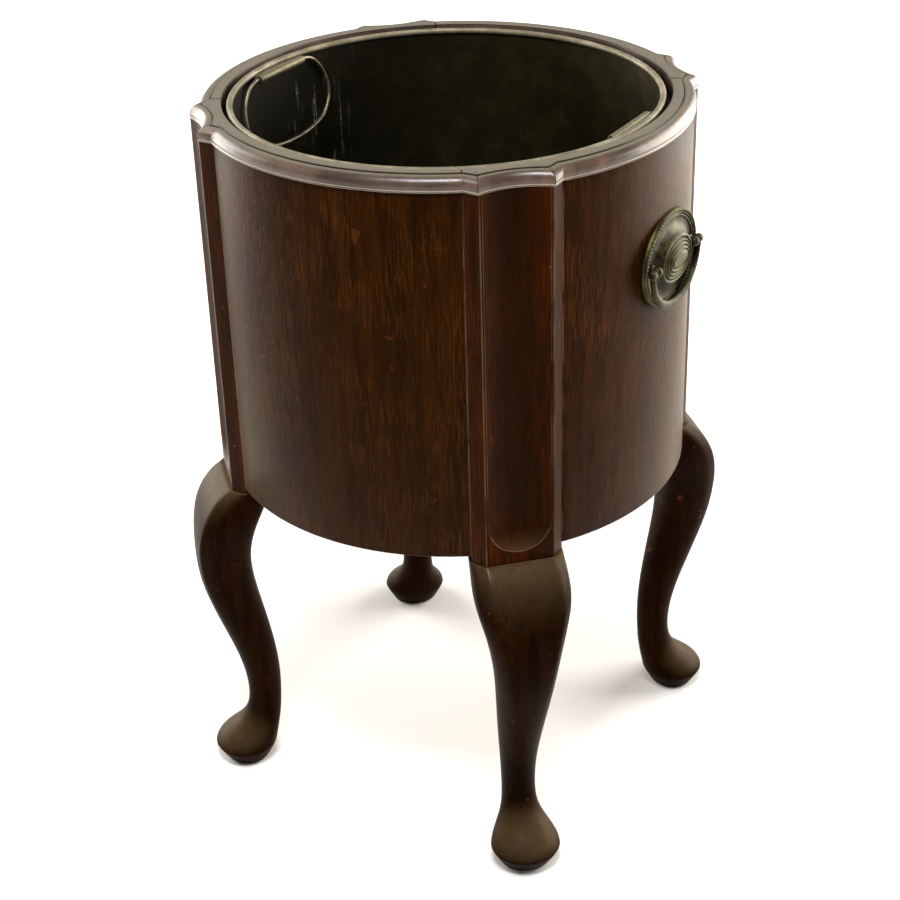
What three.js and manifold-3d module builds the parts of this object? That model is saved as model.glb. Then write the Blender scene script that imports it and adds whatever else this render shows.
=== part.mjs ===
// A round mahogany cellarette on four cabriole legs, with a loose brass liner.
// Millimetres, +Z up. The origin is on the floor under the tub's axis, and -Y is the front.

import * as THREE from 'three';
import { mergeVertices } from 'three/addons/utils/BufferGeometryUtils.js';
import Module from 'manifold-3d';

const wasm = await Module();
wasm.setup();

// Driving dimensions of the tub
const totalHeight = 582.2;
const bodyRadius = 185;
const wallThickness = 14;
const legHeight = 278.9;
const panelLift = 5.2;
const boardThickness = 12;
const seatGap = 0.3;
const cutOverrun = 2;

// Pilasters
const pilasterHalfWidth = 34.5;
const ridgeHalfWidth = 26;
const ridgeWidth = 2.2;
const pilasterProjection = 6;
const fluteDepth = 6.5;
const fluteFoot = 8.8;
const mortiseHalfWidth = 14;
const mortiseThickness = 6.4;
const mortiseDepth = 18;

// Rim
const rimHeight = 10.8;
const rimOverhang = 1.4;
const breakOverhang = 0.7;
const bandOverhang = 2.3;
const bandWidth = 8.4;
const breakHollow = 4;

// Legs: reach runs from the back of the ankle to the front of the knee and toe
const legReach = 60.2;
const legInset = 21.7;
const legHalfWidth = 35.5;
const screwRadius = 1.7;
const screwHeadRadius = 3.5;
const screwHeadDepth = 2.6;
const screwBite = 9;
const screwInset = 21.5;
const slotWidth = 0.9;
const slotDepth = 0.9;

// Brass liner
const linerClearance = 4.4;
const linerThickness = 1.2;
const linerTaper = 4;
const linerCornerRadius = 9;
const beadRadius = 2.4;
const linerDip = 0.3;
const tubeHalfLength = 29;
const tubeRadius = 3.2;
const tubeDrop = 5.1;
const tubeStandoff = 1.4;
const wireRadius = 1.5;
const wireClearance = 0.4;
const bailHalfWidth = 55.5;
const bailDrop = 56.5;

// Drop handles on the left and right panels
const plateHalfWidth = 44;
const plateHalfHeight = 36.3;
const plateDrop = 100.2;
const plateRelief = 11;
const postSpacing = 64;
const postHeadRadius = 3.9;
const postHeadStandoff = 6.2;
const postShankRadius = 2.2;
const postNeckInset = 0.5;
const pinRadius = 1.35;
const pinClearance = 0.3;
const pivotRise = 1.4;
const nutHalfWidth = 4.2;
const nutThickness = 2.4;
const dropSideClearance = 1;
const dropHeight = 35.6;
const dropEndWidth = 4.2;
const dropMiddleWidth = 7.4;
const dropDepth = 4.4;
const knuckleRadius = 3.2;
const knuckleLength = 4.6;

// Sizes worked out from those
const wallInnerRadius = bodyRadius - wallThickness;
const openingRadius = wallInnerRadius - bandOverhang;
const quirkRadius = openingRadius + bandWidth;
const mouldingRadius = bodyRadius + rimOverhang;
const rimBottom = totalHeight - rimHeight;
const pilasterBottom = legHeight + seatGap;
const panelBottom = pilasterBottom + panelLift;
const ridgeRadius = bodyRadius + pilasterProjection;
const boardTop = pilasterBottom + boardThickness;
const junctionAngle = Math.asin(pilasterHalfWidth / bodyRadius);
const fluteHalfWidth = ridgeHalfWidth - ridgeWidth;
const fluteRadius = (fluteHalfWidth ** 2 + fluteDepth ** 2) / (2 * fluteDepth);
const legBackRadius = bodyRadius - legInset;
const screwPlaceRadius = bodyRadius - screwInset;
const linerTop = totalHeight - linerDip;
const linerRimRadius = openingRadius - linerClearance;
const linerBottom = boardTop + seatGap;
const plateCentreHeight = totalHeight - plateDrop;
const postOffset = postSpacing / 2;
const postCollarRadius = postHeadRadius - postNeckInset;
const pivotHeight = plateCentreHeight + pivotRise;
const dropHalfWidth = postOffset + postHeadRadius + dropSideClearance + knuckleLength / 2;

const quarterTurn = Math.PI / 2;
const cornerNames = ['front_right', 'rear_right', 'rear_left', 'front_left'];
const sideNames = ['right', 'back', 'left', 'front'];

// Materials
const mahogany = new THREE.MeshStandardMaterial({ color: 0x3b1a0f, roughness: 0.38, metalness: 0 });
const rubbedMahogany = new THREE.MeshStandardMaterial({ color: 0x55362b, roughness: 0.3, metalness: 0 });
const innerPine = new THREE.MeshStandardMaterial({ color: 0x6b4a2e, roughness: 0.8, metalness: 0 });
const linerBrass = new THREE.MeshStandardMaterial({ color: 0x5c5436, roughness: 0.5, metalness: 0.8 });
const handleBrass = new THREE.MeshStandardMaterial({ color: 0x6f6440, roughness: 0.45, metalness: 0.9 });
const steel = new THREE.MeshStandardMaterial({ color: 0x54504c, roughness: 0.5, metalness: 0.9 });

const part = new THREE.Group();

function addPiece(name, geometry, material, parent) {
  const mesh = new THREE.Mesh(geometry, material.clone());
  mesh.name = name;
  parent.add(mesh);
  return mesh;
}

// Closed meshes from rings of points

// Triangles over a flat ring of points, which may be hollow-sided.
function capTriangles(ring) {
  const normal = new THREE.Vector3();
  ring.forEach((point, i) => {
    const next = ring[(i + 1) % ring.length];
    normal.x += (point.y - next.y) * (point.z + next.z);
    normal.y += (point.z - next.z) * (point.x + next.x);
    normal.z += (point.x - next.x) * (point.y + next.y);
  });
  const size = [Math.abs(normal.x), Math.abs(normal.y), Math.abs(normal.z)];
  const widest = size.indexOf(Math.max(...size));
  const flat = ring.map((point) => {
    const kept = point.toArray().filter((value, axis) => axis !== widest);
    return new THREE.Vector2(kept[0], kept[1]);
  });
  const turnsRight = THREE.ShapeUtils.area(flat) < 0;
  const order = flat.map((point, i) => i);
  if (turnsRight) order.reverse();
  const triangles = THREE.ShapeUtils.triangulateShape(order.map((i) => flat[i]), []);
  const mapped = triangles.map((triangle) => triangle.map((i) => order[i]));
  return turnsRight ? mapped.map(([a, b, c]) => [a, c, b]) : mapped;
}

function signedVolume(points, index) {
  let total = 0;
  for (let i = 0; i < index.length; i += 3) {
    const [a, b, c] = [points[index[i]], points[index[i + 1]], points[index[i + 2]]];
    total += a.dot(new THREE.Vector3().crossVectors(b, c));
  }
  return total;
}

// Skin over a row of rings. The row closes on itself, or has a flat cap at each end.
function loft(rings, closed = false) {
  const count = rings[0].length;
  const points = rings.flat();
  const index = [];
  const lastRow = closed ? rings.length : rings.length - 1;
  for (let row = 0; row < lastRow; row++) {
    const here = row * count;
    const next = ((row + 1) % rings.length) * count;
    for (let i = 0; i < count; i++) {
      const j = (i + 1) % count;
      index.push(here + i, here + j, next + j, here + i, next + j, next + i);
    }
  }
  if (!closed) {
    const end = (rings.length - 1) * count;
    const startCap = capTriangles(rings[0]);
    const endCap = capTriangles(rings[rings.length - 1]);
    const facing = capFacing(rings[0], startCap);
    startCap.forEach(([a, b, c]) => index.push(...(facing ? [a, c, b] : [a, b, c])));
    const endFacing = capFacing(rings[rings.length - 1], endCap);
    endCap.forEach(([a, b, c]) => {
      index.push(...(endFacing ? [end + a, end + b, end + c] : [end + a, end + c, end + b]));
    });
  }
  if (signedVolume(points, index) < 0) index.reverse();
  const geometry = new THREE.BufferGeometry();
  geometry.setAttribute('position', new THREE.Float32BufferAttribute(points.flatMap((p) => p.toArray()), 3));
  geometry.setIndex(index);
  return geometry;
}

// Whether the cap's triangles run the same way round as the ring itself.
function capFacing(ring, triangles) {
  const edges = new Set(triangles.flatMap(([a, b, c]) => [`${a},${b}`, `${b},${c}`, `${c},${a}`]));
  return edges.has('0,1') || edges.has(`${ring.length - 1},0`);
}

// A tube along points in one plane, with an oval section that may change from step to step.
function planarTube(points, planeNormal, halfAcross, halfDeep, sides, closed) {
  const rings = points.map((point, i) => {
    const before = points[closed ? (i + points.length - 1) % points.length : Math.max(i - 1, 0)];
    const after = points[closed ? (i + 1) % points.length : Math.min(i + 1, points.length - 1)];
    const along = new THREE.Vector3().subVectors(after, before).normalize();
    const across = new THREE.Vector3().crossVectors(along, planeNormal);
    return Array.from({ length: sides }, (unused, k) => {
      const angle = (2 * Math.PI * (k + 0.5)) / sides;
      return point.clone()
        .addScaledVector(across, halfAcross(i) * Math.cos(angle))
        .addScaledVector(planeNormal, halfDeep(i) * Math.sin(angle));
    });
  });
  return loft(rings, closed);
}

// Cutting and joining

function toSolid(geometry) {
  const bare = geometry.clone();
  bare.deleteAttribute('normal');
  bare.deleteAttribute('uv');
  const merged = mergeVertices(bare);
  return new wasm.Manifold(new wasm.Mesh({
    numProp: 3,
    vertProperties: new Float32Array(merged.attributes.position.array),
    triVerts: new Uint32Array(merged.index.array),
  }));
}

function toGeometry(solid) {
  const mesh = solid.getMesh();
  const geometry = new THREE.BufferGeometry();
  geometry.setAttribute('position', new THREE.Float32BufferAttribute(mesh.vertProperties, 3));
  geometry.setIndex(Array.from(mesh.triVerts));
  return geometry;
}

function join(...geometries) {
  return toGeometry(geometries.map(toSolid).reduce((all, next) => all.add(next)));
}

function cut(geometry, ...cutters) {
  return toGeometry(cutters.map(toSolid).reduce((rest, cutter) => rest.subtract(cutter), toSolid(geometry)));
}

function keepInside(geometry, limit) {
  return toGeometry(toSolid(geometry).intersect(toSolid(limit)));
}

function rod(radius, length, sides, axis, centre) {
  const geometry = new THREE.CylinderGeometry(radius, radius, length, sides);
  if (axis === 'x') geometry.rotateZ(-quarterTurn);
  if (axis === 'z') geometry.rotateX(quarterTurn);
  return geometry.translate(centre.x, centre.y, centre.z);
}

function boxBetween(low, high) {
  const size = new THREE.Vector3().subVectors(high, low);
  const centre = new THREE.Vector3().addVectors(high, low).multiplyScalar(0.5);
  return new THREE.BoxGeometry(size.x, size.y, size.z).translate(centre.x, centre.y, centre.z);
}

function polar(radius, angle, height) {
  return new THREE.Vector3(radius * Math.cos(angle), radius * Math.sin(angle), height);
}

function flatPolar(radius, angle) {
  return new THREE.Vector2(radius * Math.cos(angle), radius * Math.sin(angle));
}

function steps(from, to, count) {
  return Array.from({ length: count + 1 }, (unused, i) => from + ((to - from) * i) / count);
}

// Wall panels: a curved board between two pilasters
const panelSteps = 12;
const panelHalfAngle = quarterTurn / 2 - junctionAngle - seatGap / bodyRadius;

function panelGeometry() {
  const top = rimBottom - seatGap;
  return loft(steps(-panelHalfAngle, panelHalfAngle, panelSteps).map((angle) => [
    polar(wallInnerRadius, angle, panelBottom),
    polar(bodyRadius, angle, panelBottom),
    polar(bodyRadius, angle, top),
    polar(wallInnerRadius, angle, top),
  ]));
}

function drilledPanelGeometry() {
  const holes = [-postOffset, postOffset].map((y) => rod(
    postShankRadius + seatGap,
    2 * wallThickness,
    12,
    'x',
    new THREE.Vector3(bodyRadius - wallThickness / 2, y, pivotHeight),
  ));
  return cut(panelGeometry(), ...holes);
}

// Pilasters: a stile with splayed sides and a round-ended flute, and a mortise for the leg below
const mortiseMiddle = (wallInnerRadius + ridgeRadius - fluteDepth) / 2;

function pilasterGeometry() {
  const corner = (side) => new THREE.Vector2(ridgeRadius, side * ridgeHalfWidth);
  const outline = [
    ...steps(junctionAngle, -junctionAngle, 4).map((angle) => flatPolar(wallInnerRadius, angle)),
    flatPolar(bodyRadius, -junctionAngle),
    corner(-1),
    corner(1),
    flatPolar(bodyRadius, junctionAngle),
  ];
  const levels = [pilasterBottom, rimBottom - seatGap];
  const stile = loft(levels.map((z) => outline.map((point) => new THREE.Vector3(point.x, point.y, z))));
  return cut(stile, fluteCutter(), mortiseCutter());
}

// The flute's cutter is a round-nosed post that stands in front of the stile.
function fluteCutter() {
  const noseCentre = pilasterBottom + fluteFoot + fluteHalfWidth;
  const nose = steps(-quarterTurn, 0, 12).map((angle) => new THREE.Vector2(
    fluteRadius * Math.cos(angle),
    noseCentre + fluteRadius * Math.sin(angle),
  ));
  nose[0].x = 0;
  const profile = [
    ...nose,
    new THREE.Vector2(fluteRadius, rimBottom + cutOverrun),
    new THREE.Vector2(0, rimBottom + cutOverrun),
  ];
  const post = new THREE.LatheGeometry(profile, 60).rotateX(quarterTurn);
  return post.translate(ridgeRadius + fluteRadius - fluteDepth, 0, 0);
}

function mortiseCutter() {
  return boxBetween(
    new THREE.Vector3(mortiseMiddle - mortiseThickness / 2, -mortiseHalfWidth, pilasterBottom - cutOverrun),
    new THREE.Vector3(mortiseMiddle + mortiseThickness / 2, mortiseHalfWidth, pilasterBottom + mortiseDepth),
  );
}

// Cabriole legs
// Each row gives, as shares: height, front and back (of the reach), width and roundness.
const legShares = [
  [1.000, 0.500, -0.185, 1.000, 0.00],
  [0.980, 0.630, -0.118, 1.004, 0.00],
  [0.950, 0.745, -0.034, 0.990, 0.01],
  [0.910, 0.852, 0.056, 0.948, 0.04],
  [0.865, 0.925, 0.142, 0.880, 0.12],
  [0.815, 0.974, 0.214, 0.812, 0.26],
  [0.765, 0.996, 0.260, 0.752, 0.41],
  [0.710, 0.996, 0.284, 0.690, 0.54],
  [0.645, 0.957, 0.277, 0.627, 0.68],
  [0.570, 0.855, 0.222, 0.562, 0.81],
  [0.490, 0.730, 0.142, 0.497, 0.92],
  [0.405, 0.597, 0.071, 0.432, 1.00],
  [0.320, 0.490, 0.015, 0.383, 1.00],
  [0.245, 0.454, 0.000, 0.369, 1.00],
  [0.195, 0.483, 0.009, 0.392, 1.00],
  [0.158, 0.585, 0.029, 0.472, 1.00],
  [0.125, 0.795, 0.054, 0.625, 1.00],
  [0.092, 0.972, 0.083, 0.778, 1.00],
  [0.062, 0.998, 0.118, 0.795, 1.00],
  [0.042, 0.925, 0.165, 0.715, 1.00],
  [0.033, 0.800, 0.255, 0.490, 1.00],
  [0.000, 0.785, 0.270, 0.465, 1.00],
];
// Half a section of the knee, from the middle of the front round to the middle of the back,
// as shares of the depth and of the half width.
const kneeSectionShares = [
  [1.00, 0.00], [0.998, 0.38], [0.985, 0.745], [0.87, 0.885], [0.74, 1.00],
  [0.48, 1.00], [0.20, 0.95], [0.04, 0.76], [0.00, 0.38], [0.00, 0.00],
];

function legRing([heightShare, frontShare, backShare, widthShare, roundShare]) {
  const front = legBackRadius + frontShare * legReach;
  const back = legBackRadius + backShare * legReach;
  const halfWidth = widthShare * legHalfWidth;
  const half = kneeSectionShares.map(([depthShare, sideShare], i) => {
    const angle = (Math.PI * i) / (kneeSectionShares.length - 1);
    const square = new THREE.Vector2(back + depthShare * (front - back), sideShare * halfWidth);
    const round = new THREE.Vector2(
      (front + back) / 2 + ((front - back) / 2) * Math.cos(angle),
      halfWidth * Math.sin(angle),
    );
    return square.lerp(round, roundShare);
  });
  const mirrored = half.slice(1, -1).reverse().map((point) => new THREE.Vector2(point.x, -point.y));
  return [...half, ...mirrored].map((point) => new THREE.Vector3(point.x, point.y, heightShare * legHeight));
}

function legGeometry() {
  const leg = loft(legShares.map(legRing));
  const tenon = boxBetween(
    new THREE.Vector3(
      mortiseMiddle - mortiseThickness / 2 + seatGap,
      -mortiseHalfWidth + seatGap,
      legHeight - cutOverrun,
    ),
    new THREE.Vector3(
      mortiseMiddle + mortiseThickness / 2 - seatGap,
      mortiseHalfWidth - seatGap,
      pilasterBottom + mortiseDepth - seatGap,
    ),
  );
  const pilot = rod(
    screwRadius + seatGap,
    2 * (screwBite + seatGap),
    12,
    'z',
    new THREE.Vector3(screwPlaceRadius, 0, legHeight),
  );
  return cut(join(leg, tenon), pilot);
}

// Bottom board, with a countersunk hole over each leg
function screwHoleProfile(top, bottom) {
  return [
    new THREE.Vector2(0, bottom),
    new THREE.Vector2(screwRadius + seatGap, bottom),
    new THREE.Vector2(screwRadius + seatGap, boardTop - seatGap - screwHeadDepth),
    new THREE.Vector2(screwHeadRadius + seatGap, boardTop - seatGap),
    new THREE.Vector2(screwHeadRadius + seatGap, top),
    new THREE.Vector2(0, top),
  ];
}

const boardSides = 48;

function boardGeometry() {
  const board = rod(
    wallInnerRadius - seatGap,
    boardThickness,
    boardSides,
    'z',
    new THREE.Vector3(0, 0, pilasterBottom + boardThickness / 2),
  );
  const holes = cornerNames.map((name, i) => {
    const profile = screwHoleProfile(boardTop + cutOverrun, pilasterBottom - cutOverrun);
    const hole = new THREE.LatheGeometry(profile, 12).rotateX(quarterTurn);
    return hole.translate(screwPlaceRadius, 0, 0).rotateZ((i - 0.5) * quarterTurn);
  });
  return cut(board, ...holes);
}

function screwGeometry() {
  const head = boardTop - seatGap;
  const tip = legHeight - screwBite;
  const profile = [
    new THREE.Vector2(0, tip),
    new THREE.Vector2(screwRadius, tip + screwRadius),
    new THREE.Vector2(screwRadius, head - screwHeadDepth),
    new THREE.Vector2(screwHeadRadius, head),
    new THREE.Vector2(0, head),
  ];
  const screw = new THREE.LatheGeometry(profile, 12).rotateX(quarterTurn);
  const slot = boxBetween(
    new THREE.Vector3(-slotWidth / 2, -screwHeadRadius - cutOverrun, head - slotDepth),
    new THREE.Vector3(slotWidth / 2, screwHeadRadius + cutOverrun, head + cutOverrun),
  );
  return cut(screw, slot).translate(screwPlaceRadius, 0, 0);
}

// Rim: a round moulding that follows the tub and breaks forward over each pilaster
// Shares of the moulding's width and height, from its inner foot round to the quirk.
const thumbShares = [
  [0.00, 0.00], [1.00, 0.00], [1.00, 0.08], [0.95, 0.13], [0.985, 0.34],
  [0.92, 0.57], [0.77, 0.76], [0.54, 0.90], [0.24, 0.96], [0.00, 0.91],
];
const breakCornerOut = new THREE.Vector2(ridgeRadius + breakOverhang, ridgeHalfWidth + breakOverhang);
const breakCornerIn = new THREE.Vector2(quirkRadius + breakHollow, ridgeHalfWidth - rimOverhang);
const panelEdgeAngle = quarterTurn / 2 - junctionAngle;

function rimRing(inner, outer) {
  return thumbShares.map(([widthShare, heightShare]) => {
    const point = inner.clone().lerp(outer, widthShare);
    return new THREE.Vector3(point.x, point.y, rimBottom + heightShare * rimHeight);
  });
}

// A break's corner as the moulding on the panel beside it meets it, with that panel facing +X.
function mitrePoint(corner, side) {
  const beside = new THREE.Vector2(corner.x, -side * (corner.y + seatGap));
  return beside.rotateAround(new THREE.Vector2(), side * quarterTurn / 2);
}

// The moulding on a panel turns out to the break's corner at both ends, and is mitred there.
function rimMouldingGeometry() {
  const mitres = [-1, 1].map((side) => rimRing(
    mitrePoint(new THREE.Vector2(breakCornerIn.x + seatGap, breakCornerIn.y), side),
    mitrePoint(breakCornerOut, side),
  ));
  const along = steps(-panelEdgeAngle, panelEdgeAngle, panelSteps).map((angle) => rimRing(
    flatPolar(quirkRadius + seatGap, angle),
    flatPolar(mouldingRadius, angle),
  ));
  return loft([mitres[0], ...along, mitres[1]]);
}

// Places along the hollow front, from corner to corner, with the hollow's depth at each.
function hollowLine(corner, depth, count) {
  return steps(-1, 1, count).map((share) => new THREE.Vector2(
    corner.x - depth * (1 - share * share),
    corner.y * share,
  ));
}

const hollowSteps = 6;

function rimBreakGeometry() {
  const gapIn = new THREE.Vector2(seatGap, 0);
  const inner = hollowLine(breakCornerIn, breakHollow, hollowSteps).map((point) => point.add(gapIn));
  const outer = hollowLine(breakCornerOut, fluteDepth, hollowSteps);
  return loft(inner.map((point, i) => rimRing(point, outer[i])));
}

// The flat band inside the moulding, a quarter turn from one pilaster's edge to the next
function bandOutline() {
  const breakLine = hollowLine(breakCornerIn, breakHollow, hollowSteps)
    .map((point) => ({ radius: point.length(), angle: point.angle() }))
    .map(({ radius, angle }) => ({ radius, angle: angle > Math.PI ? angle - 2 * Math.PI : angle }));
  const panelLine = steps(-panelEdgeAngle, panelEdgeAngle, panelSteps)
    .map((angle) => ({ radius: quirkRadius, angle: angle + quarterTurn / 2 }));
  return [...breakLine, ...panelLine];
}

function bandGeometry() {
  const end = -junctionAngle + quarterTurn - seatGap / openingRadius;
  const places = [
    { radius: quirkRadius, angle: -junctionAngle },
    ...bandOutline().filter((place) => place.angle < end),
    { radius: quirkRadius, angle: end },
  ];
  return loft(places.map(({ radius, angle }) => [
    polar(openingRadius, angle, rimBottom),
    polar(radius, angle, rimBottom),
    polar(radius, angle, totalHeight),
    polar(openingRadius, angle, totalHeight),
  ]));
}

// Brass liner: a tapered bucket with a rolled rim
const beadCentreRadius = linerRimRadius - beadRadius;
const beadHeight = linerTop - beadRadius;
const linerWallRadius = beadCentreRadius + linerThickness / 2;
const linerFloorRadius = linerWallRadius - linerTaper;
const linerSteps = 48;

function linerGeometry() {
  const beadStart = -quarterTurn + Math.asin(linerThickness / (2 * beadRadius));
  const bead = steps(beadStart, 2 * Math.PI - 2 * quarterTurn - beadStart, 7).map((angle) => new THREE.Vector2(
    beadCentreRadius + beadRadius * Math.cos(angle),
    beadHeight + beadRadius * Math.sin(angle),
  ));
  const cornerOutside = steps(-quarterTurn, 0, 2).map((angle) => new THREE.Vector2(
    linerFloorRadius - linerCornerRadius + linerCornerRadius * Math.cos(angle),
    linerBottom + linerCornerRadius + linerCornerRadius * Math.sin(angle),
  ));
  const insideRadius = linerCornerRadius - linerThickness;
  const cornerInside = steps(0, -quarterTurn, 2).map((angle) => new THREE.Vector2(
    linerFloorRadius - linerCornerRadius + insideRadius * Math.cos(angle),
    linerBottom + linerCornerRadius + insideRadius * Math.sin(angle),
  ));
  const profile = [
    new THREE.Vector2(0, linerBottom),
    ...cornerOutside,
    ...bead,
    ...cornerInside,
    new THREE.Vector2(0, linerBottom + linerThickness),
  ];
  return new THREE.LatheGeometry(profile, linerSteps).rotateX(quarterTurn);
}

// Hinge tubes: a straight tube set as a chord inside the rim, with a soldered web behind it
const beadInnerRadius = beadCentreRadius - beadRadius;
const tubeHeight = linerTop - tubeDrop;
const tubeOffset = Math.sqrt(beadInnerRadius ** 2 - tubeHalfLength ** 2) - tubeRadius - tubeStandoff;

function hingeTubeGeometry() {
  const centre = new THREE.Vector3(tubeOffset, 0, tubeHeight);
  const tube = rod(tubeRadius, 2 * tubeHalfLength, 16, 'y', centre);
  const web = boxBetween(
    new THREE.Vector3(tubeOffset, -tubeHalfLength, tubeHeight - tubeRadius / 2),
    new THREE.Vector3(linerRimRadius, tubeHalfLength, tubeHeight + tubeRadius / 2),
  );
  const reach = rod(beadInnerRadius - seatGap, 2 * tubeDrop, linerSteps, 'z', new THREE.Vector3(0, 0, tubeHeight));
  const bore = rod(wireRadius + wireClearance, 2 * (tubeHalfLength + cutOverrun), 12, 'y', centre);
  return cut(join(tube, keepInside(web, reach)), bore);
}

// Liner bails: a closed loop of wire through the tube, which leans in against the liner's wall
// Half of the loop below the tube, as shares of its half width and drop.
const loopShares = [
  [0.60, 0.000], [0.76, 0.055], [0.89, 0.180], [0.97, 0.330], [1.00, 0.500],
  [0.965, 0.655], [0.88, 0.775], [0.73, 0.885], [0.50, 0.955], [0.25, 0.990],
];
const widestDropShare = 0.5;

// The lean at which the loop's widest place clears the wall by the seat gap.
function bailLean() {
  const widestDrop = widestDropShare * bailDrop;
  const wallShare = (linerTop - tubeDrop - widestDrop - linerBottom) / (linerTop - linerBottom);
  const wall = linerFloorRadius + linerTaper * wallShare - 2 * linerThickness;
  const chord = Math.sqrt(wall ** 2 - (bailHalfWidth + wireRadius) ** 2);
  return Math.asin((tubeOffset + wireRadius + seatGap - chord) / widestDrop);
}

function linerBailGeometry() {
  const lean = bailLean();
  const down = new THREE.Vector3(-Math.sin(lean), 0, -Math.cos(lean));
  const side = new THREE.Vector3(0, 1, 0);
  const start = new THREE.Vector3(tubeOffset, 0, tubeHeight);
  const place = (across, drop) => start.clone().addScaledVector(side, across).addScaledVector(down, drop);
  const half = loopShares.map(([acrossShare, dropShare]) => [acrossShare * bailHalfWidth, dropShare * bailDrop]);
  const controls = [
    place(tubeHalfLength, 0),
    ...half.map(([across, drop]) => place(across, drop)),
    place(0, bailDrop),
    ...half.slice().reverse().map(([across, drop]) => place(-across, drop)),
    place(-tubeHalfLength, 0),
  ];
  const curve = new THREE.CatmullRomCurve3(controls, false, 'centripetal');
  const points = curve.getPoints(32);
  const normal = new THREE.Vector3().crossVectors(down, side).normalize();
  const radius = () => wireRadius;
  return planarTube(points, normal, radius, radius, 8, true);
}

// Drop handle: an oval stamped plate, two posts with eyes, their nuts and the drop bail
// Each row gives the inset from the plate's edge and the relief, as shares of the half height and
// of the whole relief. Parallel insets keep the centre longer than the edge.
const plateFrontShares = [
  [0.000, 0.00], [0.012, 0.16], [0.045, 0.26], [0.080, 0.17], [0.110, 0.24], [0.150, 0.14],
  [0.280, 0.09], [0.390, 0.16], [0.480, 0.40], [0.525, 0.66], [0.580, 0.73], [0.640, 0.67],
  [0.790, 0.95], [0.850, 0.88], [0.930, 0.97],
];
const plateBackShares = [[0.930, 0.88], [0.640, 0.58], [0.525, 0.50], [0.430, 0.02]];
const plateSteps = 24;
const plateSeat = bodyRadius + seatGap;

function plateRing([insetShare, reliefShare]) {
  const inset = insetShare * plateHalfHeight;
  return Array.from({ length: plateSteps }, (unused, i) => {
    const angle = (2 * Math.PI * i) / plateSteps;
    return new THREE.Vector3(
      plateSeat + reliefShare * plateRelief,
      (plateHalfWidth - inset) * Math.cos(angle),
      plateCentreHeight + (plateHalfHeight - inset) * Math.sin(angle),
    );
  });
}

function plateGeometry() {
  const plate = loft([...plateBackShares, ...plateFrontShares].map(plateRing));
  const holes = [-postOffset, postOffset].map((y) => rod(
    postShankRadius + seatGap,
    2 * plateRelief,
    12,
    'x',
    new THREE.Vector3(plateSeat, y, pivotHeight),
  ));
  return cut(plate, ...holes);
}

const headCentre = plateSeat + postHeadStandoff;
const nutSeat = Math.sqrt(wallInnerRadius ** 2 - (postOffset + nutHalfWidth) ** 2) - seatGap;

function postGeometry() {
  const collarBack = plateSeat + plateFieldHeight() + seatGap;
  const neckAngle = -Math.acos(postCollarRadius / postHeadRadius);
  const ball = steps(neckAngle, quarterTurn, 4).map((angle) => new THREE.Vector2(
    postHeadRadius * Math.cos(angle),
    headCentre + postHeadRadius * Math.sin(angle),
  ));
  ball[ball.length - 1].x = 0;
  const profile = [
    new THREE.Vector2(0, nutSeat - nutThickness),
    new THREE.Vector2(postShankRadius, nutSeat - nutThickness),
    new THREE.Vector2(postShankRadius, collarBack),
    new THREE.Vector2(postCollarRadius, collarBack),
    ...ball,
  ];
  const post = new THREE.LatheGeometry(profile, 10).rotateZ(-quarterTurn);
  const eye = rod(
    pinRadius + pinClearance,
    2 * postHeadRadius + cutOverrun,
    8,
    'y',
    new THREE.Vector3(headCentre, 0, 0),
  );
  return cut(post, eye);
}

// Height of the plate's front where the posts stand, at the top of the slope under the collar.
function plateFieldHeight() {
  const insetShare = (plateHalfWidth - postOffset + postCollarRadius) / plateHalfHeight;
  const after = plateFrontShares.findIndex(([inset]) => inset > insetShare);
  const [[lowInset, lowRelief], [highInset, highRelief]] = plateFrontShares.slice(after - 1, after + 1);
  const share = (insetShare - lowInset) / (highInset - lowInset);
  return plateRelief * (lowRelief + share * (highRelief - lowRelief));
}

function nutGeometry() {
  const nut = rod(nutHalfWidth, nutThickness, 6, 'x', new THREE.Vector3(nutSeat - nutThickness / 2, 0, 0));
  const bore = rod(
    postShankRadius + seatGap,
    nutThickness + cutOverrun,
    12,
    'x',
    new THREE.Vector3(nutSeat - nutThickness / 2, 0, 0),
  );
  return cut(nut, bore);
}

// The drop hangs as half an ellipse below its pivots and is broadest in the middle.
function dropGeometry() {
  const count = 16;
  const points = steps(-quarterTurn, quarterTurn, count).map((angle) => new THREE.Vector3(
    headCentre,
    dropHalfWidth * Math.sin(angle),
    pivotHeight - dropHeight * Math.cos(angle),
  ));
  const middleShare = (i) => Math.cos(((i / count) * 2 - 1) * quarterTurn);
  const halfAcross = (i) => (dropEndWidth + (dropMiddleWidth - dropEndWidth) * middleShare(i)) / 2;
  const arm = planarTube(points, new THREE.Vector3(1, 0, 0), halfAcross, () => dropDepth / 2, 8, false);
  const inside = dropHalfWidth - knuckleLength / 2;
  const ends = [-1, 1].flatMap((side) => {
    const pinLength = inside - postOffset + postHeadRadius;
    return [
      rod(knuckleRadius, knuckleLength, 12, 'y', new THREE.Vector3(headCentre, side * dropHalfWidth, pivotHeight)),
      rod(
        pinRadius,
        pinLength,
        8,
        'y',
        new THREE.Vector3(headCentre, side * (inside - pinLength / 2 + seatGap), pivotHeight),
      ),
    ];
  });
  return join(arm, ...ends);
}

// Assembly

const tub = new THREE.Group();
part.add(tub);
addPiece('bottom_board', boardGeometry(), innerPine, tub);

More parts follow.
